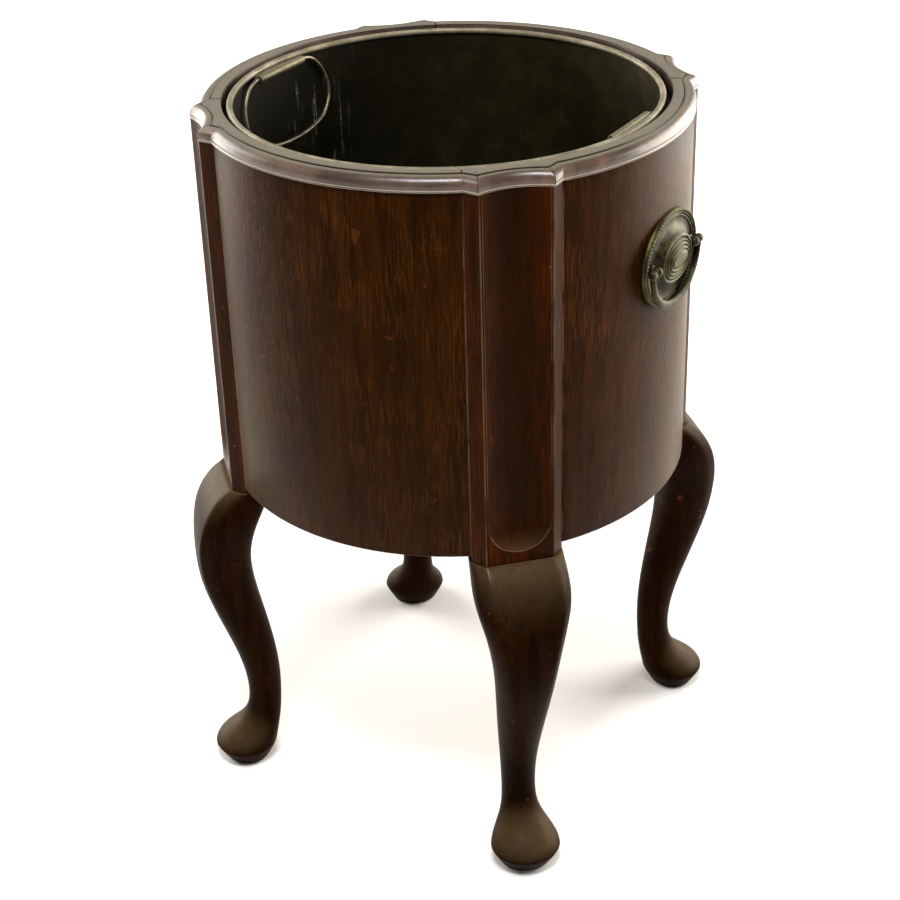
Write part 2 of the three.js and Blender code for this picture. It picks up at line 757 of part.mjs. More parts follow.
sideNames.forEach((name, i) => {
  const side = new THREE.Group();
  side.rotation.z = i * quarterTurn;
  tub.add(side);
  const hasHandle = name === 'right' || name === 'left';
  addPiece(`panel_${name}`, hasHandle ? drilledPanelGeometry() : panelGeometry(), mahogany, side);
  addPiece(`rim_moulding_${name}`, rimMouldingGeometry(), rubbedMahogany, side);
  if (!hasHandle) return;
  addPiece(`handle_plate_${name}`, plateGeometry(), handleBrass, side);
  addPiece(`handle_drop_${name}`, dropGeometry(), handleBrass, side);
  [['front', -1], ['rear', 1]].forEach(([end, sign]) => {
    const place = sign * (name === 'right' ? 1 : -1) * postOffset;
    const post = addPiece(`handle_post_${name}_${end}`, postGeometry(), handleBrass, side);
    post.position.set(0, place, pivotHeight);
    const nut = addPiece(`handle_nut_${name}_${end}`, nutGeometry(), handleBrass, side);
    nut.position.set(0, place, pivotHeight);
  });
});

cornerNames.forEach((name, i) => {
  const corner = new THREE.Group();
  corner.rotation.z = (i - 0.5) * quarterTurn;
  tub.add(corner);
  addPiece(`pilaster_${name}`, pilasterGeometry(), mahogany, corner);
  addPiece(`leg_${name}`, legGeometry(), mahogany, corner);
  addPiece(`leg_screw_${name}`, screwGeometry(), steel, corner);
  addPiece(`rim_break_${name}`, rimBreakGeometry(), rubbedMahogany, corner);
  addPiece(`rim_band_${name}`, bandGeometry(), rubbedMahogany, corner);
});

// The liner stands loose in the tub, pushed towards the front within its clearance.
const linerShiftShares = [0.27, -0.75];
const linerPlay = linerClearance - seatGap;
const linerGroup = new THREE.Group();
linerGroup.position.set(linerShiftShares[0] * linerPlay, linerShiftShares[1] * linerPlay, 0);
part.add(linerGroup);
addPiece('liner', linerGeometry(), linerBrass, linerGroup);
[['right', 0], ['left', Math.PI]].forEach(([name, turn]) => {
  const side = new THREE.Group();
  side.rotation.z = turn;
  linerGroup.add(side);
  addPiece(`liner_tube_${name}`, hingeTubeGeometry(), linerBrass, side);
  addPiece(`liner_bail_${name}`, linerBailGeometry(), linerBrass, side);
});

export default part;
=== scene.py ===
# %% [markdown]
# # A mahogany cellarette, dressed over its CAD frame
# The real object is a round wine cooler: four curved wall panels stand between four fluted
# pilasters, a mitred moulding runs round the top, and four cabriole legs carry the tub. A brass
# liner stands loose inside and an oval drop handle hangs on the left and the right.
# The CAD model gives every place and size. This lesson makes the finer shapes and the finishes,
# so the first step is to load that model and to note the box that it fills.

from math import acos, asin, atan2, cos, degrees, pi, radians, sin, sqrt

import bmesh
import bpy
from mathutils import Matrix, Vector


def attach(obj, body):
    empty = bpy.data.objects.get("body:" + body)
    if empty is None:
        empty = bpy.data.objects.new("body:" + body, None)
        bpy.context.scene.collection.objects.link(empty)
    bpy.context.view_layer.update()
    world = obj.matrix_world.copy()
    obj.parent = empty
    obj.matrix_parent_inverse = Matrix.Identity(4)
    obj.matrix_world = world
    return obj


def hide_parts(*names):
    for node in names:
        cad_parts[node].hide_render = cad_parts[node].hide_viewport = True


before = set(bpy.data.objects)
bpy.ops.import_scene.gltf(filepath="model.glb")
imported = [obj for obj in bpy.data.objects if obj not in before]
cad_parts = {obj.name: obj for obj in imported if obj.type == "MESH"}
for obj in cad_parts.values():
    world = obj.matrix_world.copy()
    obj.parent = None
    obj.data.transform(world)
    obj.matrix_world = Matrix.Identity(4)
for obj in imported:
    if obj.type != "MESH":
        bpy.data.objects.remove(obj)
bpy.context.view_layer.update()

# %% [markdown]
# ## The camera
# A photograph can be matched only from the same place. The camera's three directions and its
# distance were found by fitting the tub's rim, its corners and its feet in the photograph, so
# they are given as they came out. The small shift places the tub in the picture as it stands there.

# %% Set the camera at the photograph's view
camera_right = Vector((0.8577208, 0.5134096, -0.0269373))
camera_up = Vector((-0.2204255, 0.4145752, 0.8829156))
camera_back = Vector((0.4644649, -0.7513574, 0.4687583))
camera_place = Vector((0.68570, -1.11818, 1.01367))

lens = bpy.data.cameras.new("photo_lens")
lens.lens = 72.53
lens.sensor_width = 36
lens.shift_y = -0.0556
camera = bpy.data.objects.new("photo_camera", lens)
bpy.context.scene.collection.objects.link(camera)
turn = Matrix((camera_right, camera_up, camera_back)).transposed().to_4x4()
camera.matrix_world = Matrix.Translation(camera_place) @ turn
bpy.context.scene.camera = camera
print("camera distance to the origin, m:", round(camera_place.length, 3))

# %% [markdown]
# ## Shader sums as plain expressions
# A finish is mostly arithmetic: a streak of grain times a share of wear, one minus a mask. Small
# nodes are slow to read, so one class wraps a node's socket and lets Python's own signs add the
# Math nodes. One method makes every other node: it takes the node's type, its settings and the
# values or links of its sockets. Most finishes are a ground colour with stains laid over it in
# turn, each by its own mask, so one method does that too.

# %% A socket that can be added and multiplied
class Value:
    """A number that varies over a surface."""

    def __init__(self, finish, socket):
        self.finish = finish
        self.socket = socket

    def math(self, operation, *others):
        sockets = dict(enumerate((self, *others)))
        return self.finish.node("Math", {"operation": operation}, sockets)

    def __add__(self, other):
        return self.math("ADD", other)

    def __sub__(self, other):
        return self.math("SUBTRACT", other)

    def __rsub__(self, other):
        return self.finish.node("Math", {"operation": "SUBTRACT"}, {0: other, 1: self})

    def __mul__(self, other):
        return self.math("MULTIPLY", other)

    def __pow__(self, other):
        return self.math("POWER", other)

    __radd__ = __add__

    def between(self, low, high):
        """0 below low, 1 above high, with a soft step from one to the other."""
        settings = {"interpolation_type": "SMOOTHSTEP"}
        return self.finish.node("MapRange", settings, {0: self, 1: low, 2: high})


# %% A finish: one material and the nodes that feed it
class Finish:
    """A procedural material, built on its own Principled shader."""

    def __init__(self, name, **constants):
        self.material = bpy.data.materials.new(name)
        self.material.use_nodes = True
        self.tree = self.material.node_tree
        self.shader = self.tree.nodes["Principled BSDF"]
        for socket, value in constants.items():
            self.shader.inputs[socket.replace("_", " ")].default_value = value

    def node(self, kind, settings=None, sockets=None, output=0):
        made = self.tree.nodes.new("ShaderNode" + kind)
        for setting, value in (settings or {}).items():
            setattr(made, setting, value)
        for socket, value in (sockets or {}).items():
            self.give(made.inputs[socket], value)
        return Value(self, made.outputs[output])

    def give(self, socket, value):
        if isinstance(value, Value):
            self.tree.links.new(value.socket, socket)
        else:
            socket.default_value = value

    def set(self, **sockets):
        for socket, value in sockets.items():
            self.give(self.shader.inputs[socket.replace("_", " ")], value)

    def mix(self, share, first, second):
        """A colour between two others."""
        return self.node("Mix", {"data_type": "RGBA"}, {0: share, 6: first, 7: second}, 2)

    def stained(self, ground, *stains):
        """The ground colour with a row of stains over it, each given as its mask and its colour."""
        for share, code in stains:
            ground = self.mix(share, ground, colour(code))
        return ground

    def place(self):
        """The point on the piece, in metres, in the object's own frame."""
        return self.node("TexCoord", output=3)

    def stretched(self, place, x, y, z):
        """The place with each axis scaled, so that a pattern becomes streaks."""
        return self.node("VectorMath", {"operation": "MULTIPLY"}, {0: place, 1: (x, y, z)})

    def noise(self, place, scale=1.0, detail=4.0, rough=0.6, warp=0.0):
        sockets = {"Vector": place, "Scale": scale, "Detail": detail, "Roughness": rough}
        return self.node("TexNoise", {}, {**sockets, "Distortion": warp})

    def bump(self, height, distance, strength=0.7):
        sockets = {"Height": height, "Distance": distance, "Strength": strength}
        return self.node("Bump", {}, sockets)

    def attribute(self, name):
        """A number that the mesh carries, such as 1 for its worn arrises and 0 elsewhere."""
        return self.node("Attribute", {"attribute_name": name}, output=2)

    def facing_up(self, low, high):
        """0 on upright faces and 1 on faces that look up, where dust and old wax settle."""
        normal = self.node("NewGeometry", output=1)
        up = self.node("VectorMath", {"operation": "DOT_PRODUCT"}, {0: normal, 1: (0, 0, 1)}, 1)
        return up.between(low, high)

    def axes(self, place):
        """The three coordinates of a place, each as a number."""
        split = self.node("SeparateXYZ", {}, {0: place}).socket.node
        return [Value(self, output) for output in split.outputs]


def colour(code):
    """A colour written as six hexadecimal digits, as the linear light that a shader needs."""
    shares = [int(code[i : i + 2], 16) / 255 for i in (0, 2, 4)]
    return (*[s / 12.92 if s <= 0.04045 else ((s + 0.055) / 1.055) ** 2.4 for s in shares], 1.0)


print("a worn brown in linear light:", [round(c, 3) for c in colour("6b4a2e")])

# %% [markdown]
# ## Old polished mahogany
# The walls are straight-grained mahogany under many coats of dark polish. Short fine streaks run
# up the wall, darker pores lie in them as dashes, and softer bands of red and brown drift between.
# Noise that is stretched along Z gives all three, each at its own scale. The polish is worn
# through on the arrises, the flutes are painted darker by their depth as shade, and wax has
# turned grey on every face that looks up. The mesh marks its arrises and flutes with attributes,
# and the face's own direction finds the dusty places. A little sheen stands for the haze that old
# polish shows edge on.

# %% Dark upright mahogany for walls and pilasters
def dark_mahogany(name, deep, warm, glow, arris, gloss, haze, dust, steep):
    """Four colours from dark to worn, then the shares of gloss, haze and dust, and how steep a
    face may stand before no dust lies on it (1 is level)."""
    finish = Finish(
        name, IOR=1.5, Specular_IOR_Level=gloss, Specular_Tint=colour("f0b878"),
        Coat_Roughness=0.28, Sheen_Weight=haze, Sheen_Roughness=0.26, Sheen_Tint=colour("dec598"),
    )
    place = finish.place()
    streaks = finish.noise(finish.stretched(place, 820, 820, 52), rough=0.68)
    dashes = finish.noise(finish.stretched(place, 1500, 1500, 110), detail=2, rough=0.5)
    pores = dashes.between(0.60, 0.70)
    bands = finish.noise(finish.stretched(place, 110, 110, 9), warp=0.3)
    patches = finish.noise(place, 17)
    lit = streaks.between(0.46, 0.64) * patches.between(0.36, 0.66)
    bruised = finish.noise(place, 70, 2).between(0.70, 0.76)
    chipped = finish.noise(place, 260, 1).between(0.80, 0.84)
    settled = finish.facing_up(0.12, steep) * (0.45 + finish.noise(place, 170, 6) * 0.7)
    uneven = finish.noise(place, 24, 3).between(0.34, 0.66)
    rubbed = finish.attribute("wear").between(0.86, 0.98) * uneven
    swells = finish.noise(place, 60, 2)
    finish.set(
        Base_Color=finish.stained(
            finish.mix(bands.between(0.36, 0.66), colour(deep), colour(warm)),
            (lit * 0.62, glow),
            (pores * 0.45, "0b0401"),
            (bruised * 0.4, "5c2a17"),
            (chipped * 0.55, "8a7360"),
            # painted shade: the flute is darkened by its depth so that it reads as a hollow
            (finish.attribute("hollow") * 0.72, "110602"),
            (settled * dust, "5f4e35"),
            (rubbed * 0.75, arris),
        ),
        Roughness=0.31 + patches * 0.10 + streaks * 0.10 + pores * 0.12,
        Coat_Weight=settled * dust * 0.12,
        Normal=finish.bump(streaks * 0.8 - pores * 0.7 + swells * 1.2 - bruised, 0.00016),
    )
    return finish.material


wall_mahogany = dark_mahogany(
    "wall_mahogany", deep="1b0b02", warm="2b1302", glow="512c0a", arris="6f5d49",
    gloss=0.06, haze=0.30, dust=0.0, steep=0.9,
)
pilaster_mahogany = dark_mahogany(
    "pilaster_mahogany", deep="1a0902", warm="341102", glow="4c1e04", arris="5f4c38",
    gloss=0.07, haze=0.16, dust=0.5, steep=0.7,
)
print("finishes:", wall_mahogany.name, pilaster_mahogany.name)

# %% [markdown]
# ## The rubbed rim
# Hands and cloths have rubbed the round of the moulding to a reddish gloss, while dust and wax have
# greyed its flat top. Dirt fills the line where the moulding meets the band, and the lower edge is
# worn pale. The grain runs round the tub, so the pattern is laid out by angle and radius and not by
# X and Y.

# %% Rubbed mahogany for the rim
WALL_RADIUS_M = 0.185


def around(finish, place):
    """The place as radius, distance round the tub and height, in metres."""
    x, y, z = finish.axes(place)
    radius = (x * x + y * y) ** 0.5
    return finish.node("CombineXYZ", {}, {0: radius, 1: y.math("ARCTAN2", x) * WALL_RADIUS_M, 2: z})


def rubbed_mahogany(name, deep, pale, dust):
    finish = Finish(name, IOR=1.5, Specular_IOR_Level=0.6)
    place = finish.place()
    streaks = finish.noise(finish.stretched(around(finish, place), 900, 60, 900), detail=5)
    patches = finish.noise(place, 30)
    red = finish.noise(place, 48, 3).between(0.55, 0.68)
    speckle = finish.noise(place, 1100, 2).between(0.45, 0.7)
    flat = finish.facing_up(0.86, 0.985)
    marks = finish.attribute("wear")
    finish.set(
        Base_Color=finish.stained(
            finish.mix(patches.between(0.35, 0.68), colour(deep), colour(pale)),
            (streaks.between(0.48, 0.72) * 0.4, "2b1a12"),
            (red * 0.4, "7c4a3a"),
            (flat * (1 - speckle * 0.3) * 0.8, dust),
            (marks.between(0.82, 0.96) * 0.8, "a99b84"),
            ((marks * -1).between(0.6, 0.9), "0b0704"),
        ),
        Roughness=0.25 + patches * 0.10 + speckle * 0.12 + flat * 0.12,
        Normal=finish.bump(finish.noise(place, 520) + streaks * 0.4, 0.00011),
    )
    return finish.material


rim_mahogany = rubbed_mahogany("rim_mahogany", deep="3f2e24", pale="5f4d40", dust="675f4b")
print("finish:", rim_mahogany.name)

# %% [markdown]
# ## Brass
# The liner and the handles are old brass that was never lacquered. It has gone olive and brown,
# every hollow is painted darker as shade, and only what stands proud is still bright. How sharply
# the mesh bends in or out at a point tells the two apart.

# %% Brass for the handles, the tubes and the bails
def old_brass(name, dark, bright, rubbed, roughness):
    finish = Finish(name)
    place = finish.place()
    clouds = finish.noise(place, 70, 5)
    spots = finish.noise(place, 420, 3)
    green = finish.noise(place, 75, 5).between(0.46, 0.62)
    bend = finish.node("NewGeometry", output=7)
    finish.set(
        Base_Color=finish.stained(
            finish.mix(clouds.between(0.35, 0.68), colour(dark), colour(bright)),
            (finish.attribute("wear").between(0.7, 0.95) * 0.8, rubbed),
            (green * 0.55, "52522a"),
            (spots.between(0.50, 0.66) * 0.6, "1d190e"),
            (bend.between(0.52, 0.58) * 0.5, rubbed),
            # painted shade: places where the mesh bends inwards are darkened nearly black
            ((1 - bend.between(0.455, 0.499)) * 0.9, "0c0a05"),
        ),
        Metallic=1 - clouds * 0.15,
        Roughness=roughness + clouds * 0.16 + spots * 0.14,
        Normal=finish.bump(clouds * 1.4 + spots * 0.5, 0.00025),
    )
    return finish.material


tube_brass = old_brass("tube_brass", "625c45", "79735a", "a39b7e", 0.44)
bail_brass = old_brass("bail_brass", "5c5446", "877e6d", "b8ac98", 0.30)
handle_brass = old_brass("handle_brass", "1e190c", "3d3622", "6d664a", 0.38)
drop_brass = old_brass("drop_brass", "17120b", "2c2617", "5f573f", 0.40)
print("finishes:", tube_brass.name, bail_brass.name, handle_brass.name, drop_brass.name)

# %% [markdown]
# ## The liner's stains, painted shade and a painted reflection
# The liner's rim is dull and sandy and its inside is darker. The left side is painted nearly black
# as shade, and pale vertical streaks beside the left bail are a painted reflection. Height, the way
# round the tub and X tell these places apart. The bail hangs half way round, which is 0.58 m on the
# wall's circle.

# %% Stained sheet brass for the liner, with painted shade and a painted reflection
def stained_and_painted_brass():
    finish = Finish("liner_brass")
    place = finish.place()
    round_tub = around(finish, place)
    _, turn, height = finish.axes(round_tub)
    clouds = finish.noise(place, 45, 5)
    spots = finish.noise(place, 420, 3)
    pale_streaks = finish.noise(finish.stretched(round_tub, 0, 240, 16), detail=5).between(0.57, 0.68)
    beside_bail = turn.between(0.480, 0.525) * (1 - turn.between(0.562, 0.580))
    fading = height.between(0.42, 0.50) * (1 - height.between(0.545, 0.565))
    # scale is a painted reflection: pale vertical streaks beside the left bail, within a band of
    # height
    scale = pale_streaks * (0.02 + beside_bail * fading * 0.7) * spots.between(0.35, 0.55)
    # painted shade: the liner is darkened nearly black towards its left side
    painted_left_shade = 1 - finish.axes(place)[0].between(-0.16, -0.04)
    sunk = 1 - height.between(0.5768, 0.5786)
    rim = finish.stained(
        finish.mix(clouds.between(0.35, 0.7), colour("6f6750"), colour("9c927a")),
        (spots.between(0.55, 0.7) * 0.5, "3b3322"),
    )
    sheet = finish.stained(
        finish.mix(clouds.between(0.40, 0.70), colour("2c280f"), colour("3b3516")),
        (painted_left_shade * 0.75, "0c0a04"),
        (scale, "b9b8a8"),
    )
    finish.set(
        Base_Color=finish.mix(sunk, rim, sheet),
        Metallic=0.3 + sunk * 0.4 - scale * 0.5,
        Roughness=0.40 + clouds * 0.15 + spots * 0.1,
        Normal=finish.bump(clouds * 1.2 + spots * 0.4 + pale_streaks * 0.3, 0.0003),
    )
    return finish.material


liner_brass = stained_and_painted_brass()
print("finish:", liner_brass.name)

# %% [markdown]
# ## Pine and steel out of sight
# The board under the liner is plain sawn pine, and steel screws hold the legs to it. Nobody was
# meant to see them, so the pine is unpolished and the screws are dull with rust.

# %% Pine for the board and steel for the screws
def sawn_pine():
    finish = Finish("sawn_pine")
    place = finish.place()
    rings = finish.noise(finish.stretched(place, 12, 170, 12), warp=0.6)
    sockets = {"Vector": place, "Scale": 130, "Distortion": 1.5}
    saw = finish.node("TexWave", {"bands_direction": "X"}, sockets)
    finish.set(
        Base_Color=finish.stained(
            finish.mix(rings.between(0.35, 0.65), colour("8a6b45"), colour("5d4228")),
            (finish.noise(place, 30).between(0.5, 0.75) * 0.7, "36281a"),
        ),
        Roughness=0.72 + rings * 0.15,
        Normal=finish.bump(saw * 0.4 + rings, 0.0003, 0.6),
    )
    return finish.material


def rusted_steel():
    finish = Finish("screw_steel")
    place = finish.place()
    rust = finish.noise(place, 700).between(0.48, 0.6)
    finish.set(
        Base_Color=finish.mix(rust, colour("6a6763"), colour("4a2a18")),
        Metallic=0.9 - rust * 0.7,
        Roughness=0.42 + rust * 0.35,
        Normal=finish.bump(rust, 0.0001),
    )
    return finish.material


pine = sawn_pine()
steel = rusted_steel()
print("finishes:", pine.name, steel.name)

# %% [markdown]
# ## Floor and light
# The photograph is a studio cut-out on white. A pale floor with wide soft lamps gives the same
# even ground. A big lamp at the upper left draws the long sheen on the left wall, a second at the
# right draws the one near the handle, and a lamp above greys the top of the rim. Far from the tub
# the floor glows a little itself, so that it stays white from every side, and a white dome that
# only the camera sees closes the view beyond it. The dome gives no light and mirrors nowhere.

# %% Make the pale floor
FLOOR_HALF = 30
DOME_RADIUS = 28
BLACK = (0, 0, 0, 1)
WHITE = (1, 1, 1, 1)


def add_object(bm, name):
    """Makes a finished bmesh an object of the scene."""
    mesh = bpy.data.meshes.new(name)
    bm.to_mesh(mesh)
    bm.free()
    made = bpy.data.objects.new(name, mesh)
    bpy.context.scene.collection.objects.link(made)
    return made


def make_floor():
    bm = bmesh.new()
    bmesh.ops.create_grid(bm, x_segments=1, y_segments=1, size=FLOOR_HALF)
    floor = add_object(bm, "floor")
    finish = Finish("pale_floor", Roughness=0.9, Emission_Strength=0.9)
    grain = finish.noise(finish.place(), 3, 3)
    distance = finish.node("VectorMath", {"operation": "LENGTH"}, {0: finish.place()}, 1)
    finish.set(
        Base_Color=finish.mix(grain * 0.3, colour("f6f6f5"), colour("f1f1f0")),
        Emission_Color=finish.mix(distance.between(0.8, 2.8), BLACK, WHITE),
    )
    floor.data.materials.append(finish.material)
    return floor


floor = make_floor()
print("floor, m:", [round(side, 1) for side in floor.dimensions])


# %% Make the white dome
def make_dome():
    bm = bmesh.new()
    bmesh.ops.create_uvsphere(bm, u_segments=48, v_segments=24, radius=DOME_RADIUS)
    dome = add_object(bm, "backdrop")
    finish = Finish("backdrop", Base_Color=BLACK, Emission_Color=WHITE, Emission_Strength=1)
    dome.data.materials.append(finish.material)
    dome.visible_diffuse = dome.visible_glossy = dome.visible_transmission = False
    dome.visible_shadow = dome.visible_volume_scatter = False
    return dome


dome = make_dome()
print("dome, m:", [round(side, 1) for side in dome.dimensions])


# %% Hang the lamps
tub_middle = Vector((0, 0, 0.42))
warm = (1, 0.95, 0.87)


def hang_lamp(name, place, size, power, shade=(1, 1, 1)):
    data = bpy.data.lights.new(name, "AREA")
    data.shape = "RECTANGLE"
    data.size, data.size_y = size
    data.energy = power
    data.color = shade
    lamp = bpy.data.objects.new(name, data)
    bpy.context.scene.collection.objects.link(lamp)
    aim = (tub_middle - Vector(place)).to_track_quat("-Z", "Y").to_matrix().to_4x4()
    lamp.matrix_world = Matrix.Translation(place) @ aim
    return lamp


lamps = [
    hang_lamp("front_softbox", (0.42, -0.80, 2.35), (0.8, 0.45), 46),
    hang_lamp("right_softbox", (1.15, 1.75, 0.75), (2.1, 1.7), 108, warm),
    hang_lamp("left_softbox", (-2.1, 0.15, 0.85), (1.6, 1.7), 78, warm),
    hang_lamp("back_softbox", (-1.1, 1.9, 1.7), (2.0, 0.9), 6),
]
world = bpy.data.worlds.new("studio")
bpy.context.scene.world = world
world.use_nodes = True
sky = world.node_tree.nodes["Background"]
sky.inputs["Color"].default_value = WHITE
sky.inputs["Strength"].default_value = 0.18
bpy.context.scene.view_settings.view_transform = "Standard"
print("lamps:", [lamp.name for lamp in lamps])

# %% [markdown]
# ## Helpers for shapes
# Most pieces here are one section carried along a line. A face is drawn once from a ring of
# points and extruded to the next place again and again, which leaves a closed skin. Sizes are in
# millimetres, so each mesh is scaled to metres once it is done, and most edges are softened,
# because no worn arris is sharp.

# %% Carry a section along a line
def next_ring(bm, face, verts, points):
    """Extrudes the end face and moves its corners to the next ring of points."""
    made = bmesh.ops.extrude_face_region(bm, geom=[face, *face.edges, *face.verts])["geom"]
    fresh = {item for item in made if isinstance(item, bmesh.types.BMVert)}
    moved = []
    for vert, point in zip(verts, points):
        others = [edge.other_vert(vert) for edge in vert.link_edges]
        new = next(other for other in others if other in fresh)
        new.co = point
        moved.append(new)
    return next(item for item in made if isinstance(item, bmesh.types.BMFace)), moved


def loft(rings):
    """A closed skin over a row of rings, with a flat face at each end."""
    bm = bmesh.new()
    verts = [bm.verts.new(point) for point in rings[0]]
    face = bm.faces.new(verts)
    for points in rings[1:]:
        face, verts = next_ring(bm, face, verts, points)
    bmesh.ops.recalc_face_normals(bm, faces=bm.faces)
    return bm


def closed_loft(rings):
    """A skin over rings that run back to the first, such as a wire loop."""
    bm = loft(rings)
    ends = [face for face in bm.faces if len(face.verts) == len(rings[0]) > 4]
    edges = [edge for face in ends for edge in face.edges]
    bmesh.ops.delete(bm, geom=ends, context="FACES_ONLY")
    bmesh.ops.bridge_loops(bm, edges=edges)
    bmesh.ops.recalc_face_normals(bm, faces=bm.faces)
    return bm


def layer(items, name):
    """The place where each item keeps its number of that name."""
    return items.layers.float.get(name) or items.layers.float.new(name)


def soften(bm, width, angle=28, mark=lambda place: 1):
    """Rounds every edge sharper than the angle. The new faces are marked by place: 1 is rubbed,
    0 is plain and -1 is grimy."""
    wear = layer(bm.faces, "wear")
    limit = radians(angle)
    sharp = [edge for edge in bm.edges if edge.is_manifold and edge.calc_face_angle(0) > limit]
    made = bmesh.ops.bevel(
        bm, geom=sharp, offset=width, offset_type="OFFSET", segments=2, profile=0.5,
        affect="EDGES", material=-1, clamp_overlap=True,
    )
    for face in made["faces"]:
        face[wear] = mark(face.calc_center_median())


# %% Turn a profile into a solid, and finish a piece
def turned(profile, steps):
    """A profile of (radius, height) pairs spun a full turn round Z."""
    bm = bmesh.new()
    verts = [bm.verts.new((radius, 0, height)) for radius, height in profile]
    edges = [bm.edges.new(pair) for pair in zip(verts, verts[1:])]
    bmesh.ops.spin(
        bm, geom=verts + edges, cent=(0, 0, 0), axis=(0, 0, 1), angle=2 * pi, steps=steps,
        use_merge=True,
    )
    bmesh.ops.remove_doubles(bm, verts=bm.verts, dist=1e-4)
    bmesh.ops.recalc_face_normals(bm, faces=bm.faces)
    return bm


def put(bm, turn_by, axis, place):
    """Turns a shape about an axis through the origin and moves it to its place."""
    turning = Matrix.Rotation(turn_by, 3, axis)
    bmesh.ops.rotate(bm, verts=bm.verts, cent=(0, 0, 0), matrix=turning)
    bmesh.ops.translate(bm, verts=bm.verts, vec=place)


def add_shape(bm, other):
    """Adds a second shape to the first, as a part of the same piece."""
    mesh = bpy.data.meshes.new("added")
    other.to_mesh(mesh)
    other.free()
    bm.from_mesh(mesh)
    bpy.data.meshes.remove(mesh)


def finish_piece(bm, name, body, material, replaced, turn_by, move=(0, 0, 0), sharp=35):
    """Turns a mesh in millimetres into a finished piece in metres that rides on its body."""
    put(bm, turn_by, "Z", move)
    bmesh.ops.scale(bm, verts=bm.verts, vec=(0.001, 0.001, 0.001))
    if not all(edge.is_manifold for edge in bm.edges):
        print(name, "has open edges")
    piece = add_object(bm, name)
    piece.data.shade_smooth()
    piece.data.set_sharp_from_angle(angle=radians(sharp))
    piece.data.materials.append(material)
    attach(piece, body)
    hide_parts(*replaced)
    return piece


def faces(pieces):
    return [len(piece.data.polygons) for piece in pieces]


def steps_between(first, last, count):
    return [first + (last - first) * i / count for i in range(count + 1)]


def polar(radius, angle, height):
    return Vector((radius * cos(angle), radius * sin(angle), height))


def flowing(points, count):
    """Points on a smooth curve through the given ones, count of them from each to the next."""
    line = []
    for i in range(len(points) - 1):
        near = [points[min(max(i + k, 0), len(points) - 1)] for k in (-1, 0, 1, 2)]
        before, here, after, last = near
        for step in range(count):
            t = step / count
            slope = after - before
            bend = 2 * before - 5 * here + 4 * after - last
            twist = 3 * here - before - 3 * after + last
            line.append(0.5 * (2 * here + slope * t + bend * t**2 + twist * t**3))
    return line + [points[-1]]


CORNERS = {
    "front_right": -0.25 * pi, "rear_right": 0.25 * pi,
    "rear_left": 0.75 * pi, "front_left": 1.25 * pi,
}
SIDES = {"right": 0, "back": 0.5 * pi, "left": pi, "front": 1.5 * pi}
PAIR = {"right": 0, "left": pi}
print("corners:", {name: round(degrees(angle)) for name, angle in CORNERS.items()})

# %% [markdown]
# ## Wall panels
# Each wall is a board bent to a quarter of the tub, less the pilasters. Its section is a plain
# upright rectangle, which is spun through the panel's own angle. The bottom edge is well rubbed.

# %% Sizes of the tub, and its four panels
BODY_RADIUS = 185
WALL_INSIDE = 171
RIM_BOTTOM = 571.4
TOTAL_HEIGHT = 582.2
PILASTER_BOTTOM = 279.2
PANEL_BOTTOM = 284.4
SEAT_GAP = 0.3
STILE_HALF_WIDTH = 34.5
JUNCTION = asin(STILE_HALF_WIDTH / BODY_RADIUS)
PANEL_EDGE = pi / 4 - JUNCTION


def make_panel(name, angle):
    half = PANEL_EDGE - SEAT_GAP / BODY_RADIUS
    low, high = PANEL_BOTTOM, RIM_BOTTOM - SEAT_GAP
    corners = [(WALL_INSIDE, low), (BODY_RADIUS, low), (BODY_RADIUS, high), (WALL_INSIDE, high)]
    bm = bmesh.new()
    face = bm.faces.new([bm.verts.new(polar(radius, -half, height)) for radius, height in corners])
    whole = [face, *face.edges, *face.verts]
    bmesh.ops.spin(bm, geom=whole, cent=(0, 0, 0), axis=(0, 0, 1), angle=2 * half, steps=48)
    bmesh.ops.recalc_face_normals(bm, faces=bm.faces)
    soften(bm, 0.7)
    return finish_piece(
        bm, f"wall_{name}", "tub", wall_mahogany, [f"panel_{name}"], angle
    )


panels = [make_panel(name, angle) for name, angle in SIDES.items()]
print("panels:", [panel.name for panel in panels])

# %% [markdown]
# ## Pilasters
# A pilaster is a stile with splayed sides and a shallow flute down its front. The flute ends in a
# half round at the foot, as a round-nosed cutter leaves it. The stile is lofted upwards: every
# ring is the same outline, and only the hollow in its front changes, from nothing below the nose
# to its full width above.

# %% Make the four fluted pilasters
RIDGE_RADIUS = 191
RIDGE_HALF_WIDTH = 26
FLUTE_HALF_WIDTH = 23.8
FLUTE_DEPTH = 6.5
FLUTE_FOOT = 8.8
FLUTE_RADIUS = (FLUTE_HALF_WIDTH**2 + FLUTE_DEPTH**2) / (2 * FLUTE_DEPTH)


def pilaster_ring(height, reach):
    """The stile's outline at a height, where the flute has opened to the given half width."""
    back = [polar(WALL_INSIDE, angle, height) for angle in steps_between(JUNCTION, -JUNCTION, 6)]
    half_width = FLUTE_HALF_WIDTH * reach
    inner_radius = sqrt(half_width**2 + (FLUTE_RADIUS - FLUTE_DEPTH) ** 2)
    opening = asin(half_width / inner_radius)
    hollow = []
    for angle in steps_between(-opening, opening, 32):
        depth = inner_radius * cos(angle) - (FLUTE_RADIUS - FLUTE_DEPTH)
        hollow.append((max(depth, 0.12 * reach), inner_radius * sin(angle)))
    edge = half_width + 0.5 * reach
    rounding = [(0.45, 0.4), (0.12, -0.05), (0, -0.6)]
    ridge = [(depth, RIDGE_HALF_WIDTH + across) for depth, across in rounding] + [(0, edge)]
    front = [(depth, -across) for depth, across in ridge] + hollow + ridge[::-1]
    return [
        *back,
        polar(BODY_RADIUS, -JUNCTION, height),
        *[Vector((RIDGE_RADIUS - depth, across, height)) for depth, across in front],
        polar(BODY_RADIUS, JUNCTION, height),
    ]


